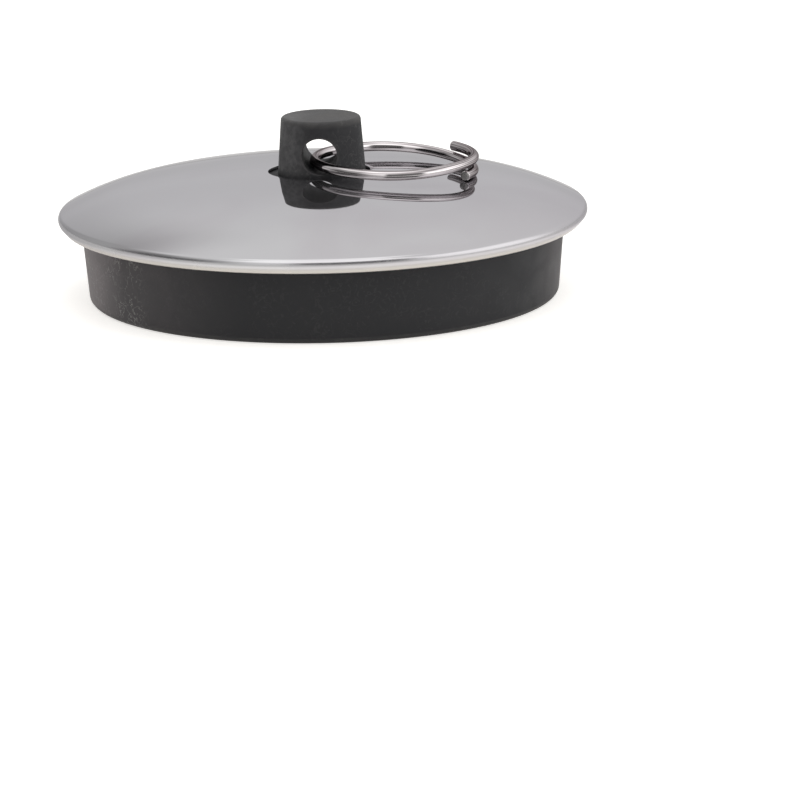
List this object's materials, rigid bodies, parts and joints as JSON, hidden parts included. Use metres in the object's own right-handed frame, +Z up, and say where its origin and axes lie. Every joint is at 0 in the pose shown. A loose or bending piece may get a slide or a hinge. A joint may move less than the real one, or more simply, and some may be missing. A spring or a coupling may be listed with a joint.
{
  "type": "drain stopper",
  "caption": "Round rubber drain stopper with a domed steel cap crimped over its flange and a wire pull ring that swings in the cross bore of its knob.",
  "frame": {"origin": "on the plug's axis, at the foot of its skirt", "axes": "+Z up along the plug's axis, +X towards the side that the ring lies on, Y along the knob's cross bore"},
  "size_m": [0.08, 0.08, 0.0273],
  "materials": {
    "black_rubber": "moulded, matt",
    "polished_steel": "polished to a mirror",
    "ring_wire": "bright drawn wire, ends cut square"
  },
  "bodies": {
    "stopper": {"rubber_plug": "black_rubber", "steel_cap": "polished_steel"},
    "ring": {"pull_ring": "ring_wire"}
  },
  "joints": [
    {"name": "ring_swing", "type": "hinge", "parent": "stopper", "child": "ring", "pos_m": [0, 0, 0.02214], "axis": [0, -1, 0], "range_deg": [0, 191.9]}
  ]
}
